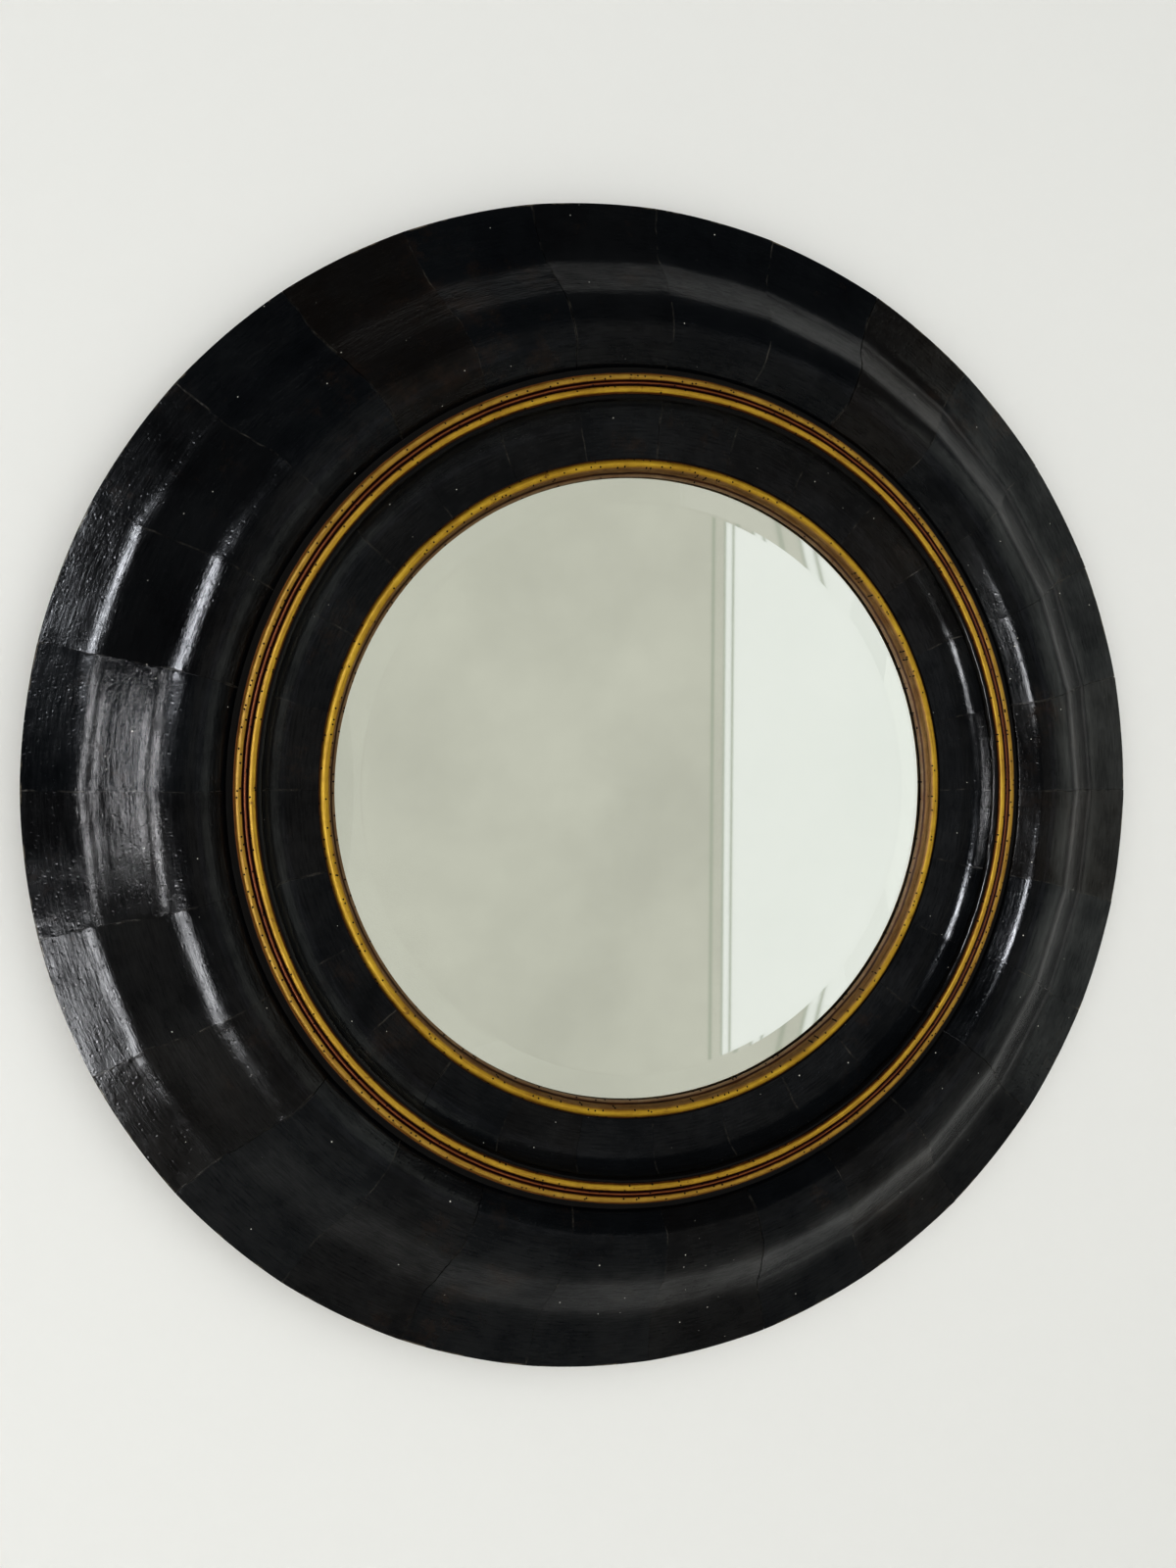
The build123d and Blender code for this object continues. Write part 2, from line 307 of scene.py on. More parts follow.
def mix(tree, factor, first, second, blend="MIX"):
    """Mix two colours, each a hex colour or a socket."""
    first, second = (tint(c) if isinstance(c, str) else c for c in (first, second))
    return add(tree, "ShaderNodeMix", {0: factor, 6: first, 7: second}, data_type="RGBA",
               blend_type=blend).outputs[2]


def bump(tree, height, distance, strength=1.0, under=None):
    """A normal bent by a height, over the normal under it where one is given."""
    inputs = {"Height": height, "Distance": distance, "Strength": strength}
    if under:
        inputs["Normal"] = under
    return add(tree, "ShaderNodeBump", inputs).outputs["Normal"]


def radius_of(tree):
    """Distance from the mirror's axis."""
    parts = add(tree, "ShaderNodeSeparateXYZ", {"Vector": object_place(tree)}).outputs
    return sums(tree, "SQRT", sums(tree, "ADD", sums(tree, "MULTIPLY", parts["X"], parts["X"]),
                                   sums(tree, "MULTIPLY", parts["Z"], parts["Z"])))


def wandering_radius(tree, wander, reach):
    """Distance from the mirror's axis, moved in and out by a noise."""
    return sums(tree, "ADD", radius_of(tree), sums(tree, "MULTIPLY", centred(tree, wander), reach))


def shellacked_facing():
    """Thin facings, ebonised and brushed with black shellac.

    Near-black with blue and brown casts from one facing to the next, semi-gloss, with brushed
    streaks about 4 mm apart along the ring and scratches between them, small pits, hairline
    seams that are worn pale here and there, a few specks of dust, and a pale patchy line at the
    rim that is partly worn edge and partly a painted edge highlight.
    """
    material, tree, shader = finish("black shellac on ebonised facings")
    where = object_place(tree)
    plate, across = (add(tree, "ShaderNodeAttribute", attribute_name=label).outputs["Fac"]
                     for label in ("plate", "seam_distance"))
    laid = add(tree, "ShaderNodeUVMap", uv_map="laid").outputs["UV"]
    cast = ramp(tree, plate, [(0.0, "#0B0E12"), (0.5, "#0C0F13"), (0.8, "#100F10"),
                              (1.0, "#17120E")])
    mottle = ramp(tree, noise(tree, where, 11.0, 5.0, 0.7), [(0.35, 0.0), (0.75, 1.0)])
    base = mix(tree, sums(tree, "MULTIPLY", mottle, 0.6), cast, "#1B1E21")
    rubbed = ramp(tree, noise(tree, where, 8.0, 7.0, 0.8), [(0.57, 0.0), (0.72, 1.0)])
    base = mix(tree, sums(tree, "MULTIPLY", rubbed, 0.7), base, "#33251B")
    streaks = noise(tree, laid, 1.0, 5.0, 0.7, stretch=(30.0, 250.0, 1.0))
    scratches = noise(tree, laid, 1.0, 3.0, 0.7, stretch=(45.0, 620.0, 1.0))
    patches = noise(tree, where, 24.0, 3.0, 0.6)
    grain = noise(tree, where, 420.0, 3.0, 0.6)
    pits = add(tree, "ShaderNodeTexVoronoi", {"Vector": where, "Scale": 190.0})
    pit = fit(tree, pits.outputs["Distance"], 0.10, 0.28)
    worn = noise(tree, where, 45.0, 5.0, 0.75)
    seam = fit(tree, across, 0.0003, 0.0009, 1.0, 0.0)
    seam_wear = sums(tree, "MULTIPLY", seam, ramp(tree, worn, [(0.47, 0.0), (0.68, 0.65)]))
    base = mix(tree, seam_wear, base, "#57534C")
    # a pale patchy line along the rim's outer edge: partly worn edge, partly a painted edge
    # highlight
    rim = sums(tree, "GREATER_THAN", radius_of(tree), (RIM_RADIUS - RIM_WEAR_AND_HIGHLIGHT_WIDTH) * MM)
    rim_wear_and_painted_highlight = sums(tree, "MULTIPLY", rim, ramp(tree, worn, [(0.50, 0.0), (0.62, 0.8)]))
    base = mix(tree, rim_wear_and_painted_highlight, base, "#6E675B")
    specks = add(tree, "ShaderNodeTexVoronoi", {"Vector": where, "Scale": 105.0})
    cell = add(tree, "ShaderNodeSeparateColor", {"Color": specks.outputs["Color"]}).outputs
    chosen = sums(tree, "GREATER_THAN", cell["Red"], 0.60)
    size = sums(tree, "MULTIPLY", cell["Blue"], 0.075)
    dust = sums(tree, "MULTIPLY", sums(tree, "LESS_THAN", specks.outputs["Distance"], size), chosen)
    base = mix(tree, sums(tree, "MULTIPLY", dust, 0.9), base, "#D2D0C8")
    polish = ramp(tree, streaks, [(0.3, 0.08), (0.7, 0.19)])
    polish = sums(tree, "ADD", polish, sums(tree, "MULTIPLY", mottle, 0.08))
    dull = sums(tree, "MULTIPLY", sums(tree, "ADD", dust, seam_wear), 0.8)
    polish = sums(tree, "MAXIMUM", polish, dull)
    sheen = ramp(tree, noise(tree, where, 17.0, 5.0, 0.7), [(0.35, 0.20), (0.62, 0.40)])
    sheen = sums(tree, "MULTIPLY", sheen, ramp(tree, scratches, [(0.36, 0.62), (0.58, 1.0)]))
    ripple = bump(tree, patches, 0.0010, 0.35)
    ripple = bump(tree, streaks, 0.00024, 0.7, ripple)
    ripple = bump(tree, scratches, 0.00004, 0.5, ripple)
    ripple = bump(tree, pit, 0.00015, 0.4, ripple)
    feed(tree, shader, {"Base Color": base, "Roughness": polish, "IOR": 1.5,
                        "Specular IOR Level": sheen,
                        "Normal": bump(tree, grain, 0.00012, 0.5, ripple)})
    return material


def gilding(name, inner, outer, stops):
    """Burnished gold leaf over red bole on a turned moulding, aged.

    Warm ochre metal that has lost its mirror shine, rubbed through to brown bole in patches, with
    flyspecks 1.5 mm wide about 9 mm apart and fine brown streaks along the ring.
    stops colours the moulding from its inner to its outer radius, both in millimetres; they darken
    it towards the feet of the beads and to near black in the hollows between them and at its
    edges, which is painted shade over a little dark bole.
    """
    material, tree, shader = finish(name)
    where = object_place(tree)
    spread = wandering_radius(tree, noise(tree, where, 30.0, 5.0, 0.7), 0.0016)
    # the stops darken the beads towards their feet and to near black in the hollows and at the
    # edges: painted shade over a little dark bole
    colour = ramp(tree, fit(tree, spread, inner * MM, outer * MM), stops)
    tone = ramp(tree, noise(tree, where, 42.0, 6.0, 0.75), [(0.35, 0.0), (0.75, 1.0)])
    colour = mix(tree, sums(tree, "MULTIPLY", tone, 0.6), colour, "#A6894E", "MULTIPLY")
    rub = ramp(tree, noise(tree, where, 95.0, 5.0, 0.75), [(0.62, 0.0), (0.72, 1.0)])
    colour = mix(tree, sums(tree, "MULTIPLY", rub, 0.7), colour, "#4A1E0C")
    parts = add(tree, "ShaderNodeSeparateXYZ", {"Vector": where}).outputs
    around = sums(tree, "MULTIPLY", sums(tree, "ARCTAN2", parts["Z"], parts["X"]), outer * MM)
    unrolled = add(tree, "ShaderNodeCombineXYZ",
                   {"X": around, "Y": radius_of(tree)}).outputs["Vector"]
    lines = ramp(tree, noise(tree, unrolled, 1.0, 4.0, 0.7, stretch=(26.0, 900.0, 1.0)),
                 [(0.50, 0.0), (0.68, 1.0)])
    colour = mix(tree, sums(tree, "MULTIPLY", lines, 0.55), colour, "#6A3C10")
    spots = add(tree, "ShaderNodeTexVoronoi", {"Vector": unrolled, "Scale": 1 / FLY_CELL},
                voronoi_dimensions="2D")
    seen = add(tree, "ShaderNodeSeparateColor", {"Color": spots.outputs["Color"]}).outputs["Green"]
    fly = sums(tree, "MULTIPLY", sums(tree, "LESS_THAN", spots.outputs["Distance"], 0.11),
               sums(tree, "GREATER_THAN", seen, 0.45))
    colour = mix(tree, fly, colour, "#0A0503")
    rough = ramp(tree, noise(tree, where, 240.0), [(0.3, 0.38), (0.7, 0.56)])
    dints = bump(tree, noise(tree, where, 160.0, 4.0), 0.0005, 0.5)
    feed(tree, shader, {
        "Base Color": colour, "Metallic": 0.3, "Specular IOR Level": 0.3,
        "Roughness": sums(tree, "MAXIMUM", rough, sums(tree, "MULTIPLY", fly, 0.9)),
        "Normal": bump(tree, noise(tree, where, 700.0, 3.0), 0.0001, 0.5, dints)})
    return material


def pooled_lacquer_and_groove_shade():
    """Black lacquer that pooled beside the reed: deep black, glassy, with a soft uneven edge; in
    the groove outside the reed the deep black is painted shade.
    """
    material, tree, shader = finish("pooled black lacquer and groove shade")
    where = object_place(tree)
    feed(tree, shader, {
        "Base Color": ramp(tree, noise(tree, where, 40.0), [(0.3, "#020202"), (0.85, "#0A0504")]),
        "Roughness": ramp(tree, noise(tree, where, 150.0), [(0.3, 0.10), (0.8, 0.28)]),
        "Specular IOR Level": 0.3,
        "Normal": bump(tree, noise(tree, where, 180.0), 0.0003, 0.5)})
    return material


def black_ground():
    """Bone-black ground coat on the turned core, dull, seen in the grooves and at the rim."""
    material, tree, shader = finish("bone black ground coat")
    where = object_place(tree)
    feed(tree, shader, {
        "Base Color": ramp(tree, noise(tree, where, 30.0), [(0.3, "#08080A"), (0.8, "#14100E")]),
        "Roughness": ramp(tree, noise(tree, where, 90.0), [(0.3, 0.35), (0.8, 0.6)]),
        "Normal": bump(tree, noise(tree, where, 350.0), 0.0002, 0.5)})
    return material


def raw_pine(turn):
    """Sawn and turned pine, left raw at the back.

    Growth rings about 6 mm apart run along the felloe and each darkens slowly to a sharp edge;
    there are fine fibres, grey-brown handling marks, and black paint that ran over from the rim.
    """
    material, tree, shader = finish(f"raw pine, grain at {round(degrees(turn))} degrees")
    where = object_place(tree)
    along = add(tree, "ShaderNodeMapping",
                {"Vector": where, "Rotation": (0, turn, 0)}).outputs["Vector"]
    flow = noise(tree, along, 4.0, 3.0, 0.5, stretch=(0.5, 1.0, 1.6))
    parts = add(tree, "ShaderNodeSeparateXYZ", {"Vector": along}).outputs
    rings = sums(tree, "FRACT", sums(tree, "ADD", sums(tree, "MULTIPLY", parts["Z"], 1 / PINE_RING),
                                     sums(tree, "MULTIPLY", flow, 7.0)))
    breadth = ramp(tree, noise(tree, along, 14.0, 3.0, 0.6, stretch=(0.1, 1.0, 1.0)),
                   [(0.35, 0.25), (0.7, 1.0)])
    late = sums(tree, "MULTIPLY", breadth,
                ramp(tree, rings, [(0.0, 0.0), (0.55, 0.12), (0.88, 1.0), (0.98, 0.0)]))
    wood = mix(tree, late, "#CBB99F", "#AC9272")
    fibre = noise(tree, along, 60.0, 5.0, 0.75, stretch=(0.12, 11.0, 11.0))
    wood = mix(tree, sums(tree, "MULTIPLY", fibre, 0.4), wood, "#917659")
    stain = ramp(tree, noise(tree, where, 5.0, 5.0), [(0.45, 0.0), (0.8, 1.0)])
    wood = mix(tree, sums(tree, "MULTIPLY", stain, 0.45), wood, "#77685A")
    edge = wandering_radius(tree, noise(tree, where, 16.0, 4.0), 0.009)
    paint = fit(tree, edge, (RIM_RADIUS - 9.0) * MM, (RIM_RADIUS - 8.0) * MM)
    feed(tree, shader, {
        "Base Color": mix(tree, paint, wood, "#0C0C0E"),
        "Roughness": ramp(tree, paint, [(0.0, 0.68), (1.0, 0.38)]),
        "Normal": bump(tree, sums(tree, "ADD", fibre, late), 0.0002, 0.5)})
    return material


def birch_plywood():
    """Unfinished birch plywood: pale, even, with faint upright grain and short brown flecks."""
    material, tree, shader = finish("unfinished birch plywood")
    where = object_place(tree)
    broad = noise(tree, where, 5.0, 5.0, 0.6, stretch=(4.0, 4.0, 0.5))
    fine = noise(tree, where, 70.0, 4.0, 0.7, stretch=(5.0, 5.0, 0.25))
    wood = mix(tree, broad, "#CDB794", "#B39770")
    wood = mix(tree, sums(tree, "MULTIPLY", ramp(tree, fine, [(0.5, 0.0), (0.75, 1.0)]), 0.5),
               wood, "#8E7352")
    feed(tree, shader, {"Base Color": wood, "Roughness": 0.62,
                        "Normal": bump(tree, fine, 0.00015, 0.5)})
    return material


def metal(name, pale, dark, low, high, polish):
    """A tarnished metal; low and high bound its roughness, polish is the stretch of its marks."""
    material, tree, shader = finish(name)
    where = object_place(tree)
    tarnish = ramp(tree, noise(tree, where, 120.0, 5.0, 0.7), [(0.35, 0.0), (0.75, 1.0)])
    marks = noise(tree, where, 300.0, 4.0, 0.6, stretch=polish)
    feed(tree, shader, {
        "Base Color": mix(tree, tarnish, pale, dark), "Metallic": 1.0,
        "Roughness": ramp(tree, marks, [(0.3, low), (0.7, high)]),
        "Normal": bump(tree, marks, 0.00004, 0.6)})
    return material


def moulded_rubber():
    """Moulded nitrile rubber pads: matt black, faintly dusty."""
    material, tree, shader = finish("moulded black rubber")
    where = object_place(tree)
    feed(tree, shader, {
        "Base Color": ramp(tree, noise(tree, where, 150.0), [(0.4, "#141414"), (0.85, "#3A3936")]),
        "Roughness": 0.78, "Normal": bump(tree, noise(tree, where, 900.0), 0.00005, 0.6)})
    return material


def pressed_fibre(name, pale, dark, grit):
    """Felt or grey board: matt pressed fibres, about grit of them to the metre."""
    material, tree, shader = finish(name)
    where = object_place(tree)
    fibres = noise(tree, where, grit, 6.0, 0.8)
    feed(tree, shader, {"Base Color": mix(tree, fibres, pale, dark), "Roughness": 0.95,
                        "Normal": bump(tree, fibres, 0.0002, 0.8)})
    return material


def plate_glass():
    """Polished soda-lime plate glass, 6 mm, clear with a trace of green."""
    material, tree, shader = finish("polished plate glass")
    feed(tree, shader, {"Base Color": tint("#F7FBF8"), "Roughness": 0.0, "IOR": 1.52,
                        "Transmission Weight": 1.0})
    return material


def silver_film():
    """Wet silvering behind the glass: near-perfect mirror, very slightly yellow and hazy."""
    material, tree, shader = finish("wet silvering")
    where = object_place(tree)
    bloom = noise(tree, where, 7.0, 5.0, 0.6)
    feed(tree, shader, {"Base Color": mix(tree, bloom, "#F4F4EE", "#ECEDE6"), "Metallic": 1.0,
                        "Roughness": 0.02})
    return material


FACING = shellacked_facing()
# reed stops: near black at both edges and where the beads meet, which is painted shade
REED_GOLD = gilding("burnished gilding on the reed", REED_INNER, REED_OUTER, [
    (0.0, "#120604"), (0.05, "#6E440F"), (0.10, "#B89A36"), (0.30, "#B3933A"), (0.37, "#350B06"),
    (0.455, "#3A0E08"), (0.48, "#8A5A2E"), (0.52, "#7F4826"), (0.55, "#360B06"), (0.63, "#3A0F07"),
    (0.68, "#A48634"), (0.86, "#AB8D44"), (0.95, "#8A5A1C"), (1.0, "#160805")])
# slip stops: dark in the cove and near black at the outer edge, which is painted shade
SLIP_GOLD = gilding("burnished gilding on the slip", SIGHT_RADIUS, SLIP_RADIUS, [
    (0.0, "#82705A"), (0.13, "#7E6A50"), (0.18, "#36200E"), (0.24, "#38230F"), (0.28, "#8C7350"),
    (0.40, "#8F7040"), (0.46, "#AA8C2C"), (0.62, "#BEA038"), (0.86, "#AC8D2E"), (0.95, "#5A340E"),
    (1.0, "#0C0603")])
LACQUER_AND_GROOVE_SHADE = pooled_lacquer_and_groove_shade()
GROUND = black_ground()
STEEL = metal("bright zinc plate on steel", "#EDEEEE", "#C6C8C5", 0.22, 0.42, (1.0, 1.0, 1.0))
BRASS = metal("lightly tarnished cut brass", "#EFCB7E", "#C49A55", 0.25, 0.45, (1.0, 1.0, 6.0))
NODE_FINISHES = {
    "backboard": birch_plywood(), "wall_pads": moulded_rubber(), "silvering": silver_film(),
    "glazing_felt": pressed_fibre("black wool felt", "#0E0E0E", "#262524", 1400.0),
    "backing_card": pressed_fibre("grey packing card", "#8C8270", "#6B6150", 700.0),
    "hanger_strap_left": STEEL, "hanger_strap_right": STEEL,
}
for index in range(4):
    NODE_FINISHES[f"turn_button_{index + 1}"] = BRASS
for index in range(6):
    NODE_FINISHES[f"front_felloe_{index + 1}"] = GROUND
    NODE_FINISHES[f"back_felloe_{index + 1}"] = raw_pine(radians(60.0 * index + 120.0))
for node_name, node_finish in NODE_FINISHES.items():
    data = frame["nodes"][node_name].data
    data.materials.clear()
    data.materials.append(node_finish)

# ---------------------------------------------------------------- facings
HALF_PITCH = pi / FACING_COUNT
LAID_FLAT = 0.8  # how far a facing is a flat strip across the ring, 0 none and 1 wholly
BENT_FLAT = 0.2  # the same in the groove and inside it, where the facings bend more
BENT_RADIUS, LAID_RADIUS = 374.0, 398.0
RIM_FLAT = 0.08  # the same for the outline of the rim
RIM_ZONE = 430.0  # radius outside which the rows of a facing lean towards that outline
FACING_COLUMNS = 24
OUTER_STEP, INNER_STEP = 3.1, 2.4  # between the points of a facing's section
OUTER_SEED, INNER_SEED = 7, 11


def facing_plate(name, corners, radii, step):
    """One facing centred on +X: a thin closed shell that follows the moulding."""
    columns = FACING_COLUMNS
    line = bent_line(corners, radii, step)
    rows = len(line)
    lengths = [0.0]
    for a, b in zip(line, line[1:]):
        lengths.append(lengths[-1] + (b - a).length)

    def height_at(radius):
        for a, b in zip(line, line[1:]):
            if a.x >= radius >= b.x:
                return a.y + (b.y - a.y) * (a.x - radius) / (a.x - b.x)
        end, inner = (line[0], line[1]) if radius > line[0].x else (line[-1], line[-2])
        return end.y + (end.y - inner.y) * (radius - end.x) / (end.x - inner.x)

    half_gap = SEAM_GAP / 2 / RIM_RADIUS
    mean_cos = 1.0 - HALF_PITCH ** 2 / 6
    points, seam, laid = [], [], []
    for depth in (0.0, FACING_THICKNESS):
        for i in range(columns + 1):
            angle = sin(pi * (i / columns - 0.5)) * (HALF_PITCH - half_gap)
            chord = 1.0 - cos(HALF_PITCH) / cos(angle)
            for j, spot in enumerate(line):
                near_rim = max(0.0, (spot.x - RIM_ZONE) / (RIM_RADIUS - RIM_ZONE)) ** 2
                radius = spot.x * (1.0 - RIM_FLAT * chord * near_rim)
                blend = min(1.0, max(0.0, (spot.x - BENT_RADIUS) / (LAID_RADIUS - BENT_RADIUS)))
                flat = BENT_FLAT + (LAID_FLAT - BENT_FLAT) * blend
                look = spot.x * (1.0 - flat + flat * cos(angle) / mean_cos)
                points.append(place(radius, height_at(look) - depth, angle))
                seam.append((HALF_PITCH - half_gap - abs(angle)) * spot.x * MM)
                laid.append((angle * spot.x * MM, lengths[j] * MM))
    top, count = (lambda i, j: i * rows + j), (columns + 1) * rows
    faces = []
    for i in range(columns):
        for j in range(rows - 1):
            ring = (top(i, j), top(i, j + 1), top(i + 1, j + 1), top(i + 1, j))
            faces.append(ring)
            faces.append(tuple(count + k for k in reversed(ring)))
    for j in range(rows - 1):
        for i, step_on in ((0, 0), (columns, 1)):
            a, b = top(i, j + step_on), top(i, j + 1 - step_on)
            faces.append((a, a + count, b + count, b))
    for i in range(columns):
        for j, step_on in ((0, 1), (rows - 1, 0)):
            a, b = top(i + step_on, j), top(i + 1 - step_on, j)
            faces.append((a, a + count, b + count, b))
    mesh = shell(name, points, faces)
    mesh.attributes.new("seam_distance", "FLOAT", "POINT").data.foreach_set("value", seam)
    layer = mesh.uv_layers.new(name="laid")
    for loop in mesh.loops:
        layer.data[loop.index].uv = laid[loop.vertex_index]
    return mesh


def band_tree():
    """Facings laid round a ring: each tilts a little and is unevenly worked, most at its seams."""
    tree, given = new_tree("laid facings", [
        ("Count", "Int"), ("Tilt", "Float"), ("Unevenness", "Float"), ("Wrinkle", "Float"),
        ("Wrinkle Reach", "Float"), ("Stray", "Float"), ("Seed", "Int"), ("Material", "Material")])
    spots = add(tree, "GeometryNodeMeshLine", {"Count": given["Count"], "Offset": (0, 0, 0)})
    number = add(tree, "GeometryNodeInputIndex").outputs["Index"]
    turn = sums(tree, "MULTIPLY", sums(tree, "ADD", number, 0.5),
                sums(tree, "DIVIDE", 2 * pi, given["Count"]))
    draw = live_output(add(tree, "FunctionNodeRandomValue", {
        "Min": -1.0, "Max": 1.0, "ID": number, "Seed": given["Seed"]}, data_type="FLOAT"))
    angles = add(tree, "ShaderNodeCombineXYZ", {"X": sums(tree, "MULTIPLY", draw, given["Tilt"]),
                                                "Y": sums(tree, "MULTIPLY", turn, -1.0)})
    laid = add(tree, "GeometryNodeInstanceOnPoints",
               {"Points": spots.outputs["Mesh"], "Instance": given["Geometry"],
                "Rotation": angles.outputs["Vector"]})
    marked = add(tree, "GeometryNodeStoreNamedAttribute",
                 {"Geometry": laid.outputs["Instances"], "Name": "plate",
                  "Value": sums(tree, "MULTIPLY_ADD", draw, 0.5, 0.5)},
                 data_type="FLOAT", domain="INSTANCE")
    real = add(tree, "GeometryNodeRealizeInstances", {"Geometry": marked.outputs["Geometry"]})
    plate, seam = (live_output(add(tree, "GeometryNodeInputNamedAttribute", {"Name": label},
                                   data_type="FLOAT")) for label in ("plate", "seam_distance"))
    each = sums(tree, "MULTIPLY", plate, 57.0)  # far enough apart for every facing to differ
    where = add(tree, "GeometryNodeInputPosition").outputs["Position"]
    broad, fine = (centred(tree, add(tree, "ShaderNodeTexNoise", {
        "Vector": where, "W": each, "Scale": scale, "Detail": detail},
        noise_dimensions="4D").outputs["Fac"]) for scale, detail in ((22.0, 2.0), (130.0, 3.0)))
    near = fit(tree, seam, 0.0, given["Wrinkle Reach"], 1.0, 0.0, interpolation_type="SMOOTHSTEP")
    swell = sums(tree, "MULTIPLY", broad, given["Unevenness"])
    crease = sums(tree, "MULTIPLY_ADD", sums(tree, "MULTIPLY", fine, near), given["Wrinkle"], swell)
    lift = add(tree, "ShaderNodeCombineXYZ", {"Y": crease}).outputs["Vector"]
    stray = add(tree, "ShaderNodeTexNoise", {"Vector": where, "Scale": 38.0, "Detail": 3.0,
                                             "Roughness": 0.6}).outputs["Fac"]
    stray = sums(tree, "MULTIPLY", centred(tree, stray), given["Stray"])
    along = vector_sum(tree, "CROSS_PRODUCT", where, (0.0, 1.0, 0.0))
    shift = vector_sum(tree, "ADD", lift, vector_sum(tree, "SCALE", along, stray))
    moved = add(tree, "GeometryNodeSetPosition", {"Geometry": real.outputs["Geometry"],
                                                  "Offset": shift})
    close_tree(tree, moved.outputs["Geometry"], given["Material"])
    return tree


BAND_TREE = band_tree()


def facing_band(name, corners, radii, step, seed, *nodes):
    """A whole ring of facings as one piece."""
    plate = facing_plate(name + "_plate", corners, radii, step)
    piece = grow(name, plate, BAND_TREE, {
        "Count": FACING_COUNT, "Tilt": radians(0.35), "Unevenness": 0.0009, "Wrinkle": 0.0009,
        "Wrinkle Reach": 0.012, "Stray": 0.014, "Seed": seed, "Material": FACING}, sharp=50.0)
    return finish_piece(piece, BODY, "ebonised_facing", *nodes)


facing_band("outer_facings", OUTER_BAND, OUTER_BAND_RADII, OUTER_STEP, OUTER_SEED,
            *[f"outer_facing_{i + 1:02d}" for i in range(FACING_COUNT)])
facing_band("inner_facings_laid", INNER_BAND, INNER_BAND_RADII, INNER_STEP, INNER_SEED,
            "inner_facings")

# ---------------------------------------------------------------- turned rings
FINE_SEGMENTS, SEGMENTS = 420, 360


def ring_tree():
    """A closed section carried round the mirror's axis, with the turner's small unevenness.

    The base mesh holds the section's points in order, x as radius and y as depth.
    """
    tree, given = new_tree("turned ring", [
        ("Points", "Int"), ("Segments", "Int"), ("Wander", "Float"), ("Wander Scale", "Float"),
        ("Dents", "Float"), ("Material", "Material")])
    grid = add(tree, "GeometryNodeMeshGrid", {
        "Size X": 1.0, "Size Y": 1.0, "Vertices X": sums(tree, "ADD", given["Segments"], 1.0),
        "Vertices Y": sums(tree, "ADD", given["Points"], 1.0)})
    named = add(tree, "GeometryNodeStoreNamedAttribute",
                {"Geometry": grid.outputs["Mesh"], "Name": "UVMap",
                 "Value": grid.outputs["UV Map"]}, data_type="FLOAT2", domain="CORNER")
    where = add(tree, "GeometryNodeInputPosition").outputs["Position"]
    flat = add(tree, "ShaderNodeSeparateXYZ", {"Vector": where}).outputs
    angle = sums(tree, "MULTIPLY_ADD", flat["X"], 2 * pi, pi)
    slot = sums(tree, "MULTIPLY", sums(tree, "ADD", flat["Y"], 0.5), given["Points"])
    slot = sums(tree, "MODULO", sums(tree, "ROUND", slot), given["Points"])
    spot = add(tree, "GeometryNodeSampleIndex", {"Geometry": given["Geometry"], "Value": where,
                                                 "Index": slot},
               data_type="FLOAT_VECTOR", domain="POINT")
    section = add(tree, "ShaderNodeSeparateXYZ", {"Vector": spot.outputs["Value"]}).outputs
    unit = add(tree, "ShaderNodeCombineXYZ", {"X": sums(tree, "COSINE", angle),
                                              "Z": sums(tree, "SINE", angle)}).outputs["Vector"]
    drift = add(tree, "ShaderNodeTexNoise", {"Vector": unit, "Detail": 4.0, "Roughness": 0.65,
                                             "Scale": given["Wander Scale"]}).outputs["Fac"]
    radius = sums(tree, "MULTIPLY_ADD", centred(tree, drift), given["Wander"], section["X"])
    depth = add(tree, "ShaderNodeCombineXYZ", {"Y": section["Y"]}).outputs["Vector"]
    total = vector_sum(tree, "ADD", vector_sum(tree, "SCALE", unit, radius), depth)
    turned = add(tree, "GeometryNodeSetPosition", {"Geometry": named.outputs["Geometry"],
                                                   "Position": total})
    joined = add(tree, "GeometryNodeMergeByDistance", {"Geometry": turned.outputs["Geometry"],
                                                       "Distance": 1e-6})
    dent = add(tree, "ShaderNodeTexNoise", {"Vector": where, "Scale": 90.0,
                                            "Detail": 3.0}).outputs["Fac"]
    dent = sums(tree, "MULTIPLY", centred(tree, dent), given["Dents"])
    normal = add(tree, "GeometryNodeInputNormal").outputs["Normal"]
    worn = add(tree, "GeometryNodeSetPosition", {"Geometry": joined.outputs["Geometry"],
                                                 "Offset": vector_sum(tree, "SCALE", normal, dent)})
    close_tree(tree, worn.outputs["Geometry"], given["Material"])
    return tree


RING_TREE = ring_tree()


def turned_ring(name, section, segments, material, wander=0.0, wander_scale=6.0, dents=0.0,
                sharp=35.0):
    """A piece turned about the axis; section is a closed outline, in millimetres as wander and
    dents are.
    """
    spots = [(r * MM, BACK_Y - h * MM, 0.0) for r, h in section]
    base = shell(name + "_section", spots, [])
    return grow(name, base, RING_TREE, {
        "Points": len(spots), "Segments": segments, "Wander": wander * MM,
        "Wander Scale": wander_scale, "Dents": dents * MM, "Material": material}, sharp)


def bead_arc(bead, floor, count):
    """The part of a bead that stands above the floor, from its outer to its inner side."""
    centre, height, radius = bead
    start = degrees(asin((floor - height) / radius))
    return arc(centre, height, radius, start, 180.0 - start, count)


reed_section = [(REED_INNER, REED_BOTTOM), (REED_OUTER, REED_BOTTOM), (REED_OUTER, REED_TOP)]
for bead, count in zip(REED_BEADS, (14, 10, 14)):
    reed_section += bead_arc(bead, REED_TOP, count)
reed_section.append((REED_INNER, REED_TOP))
finish_piece(turned_ring("gilt_triple_reed", reed_section, FINE_SEGMENTS, REED_GOLD, wander=0.5,
                         dents=0.35), BODY, "gilding", "gilt_reed")

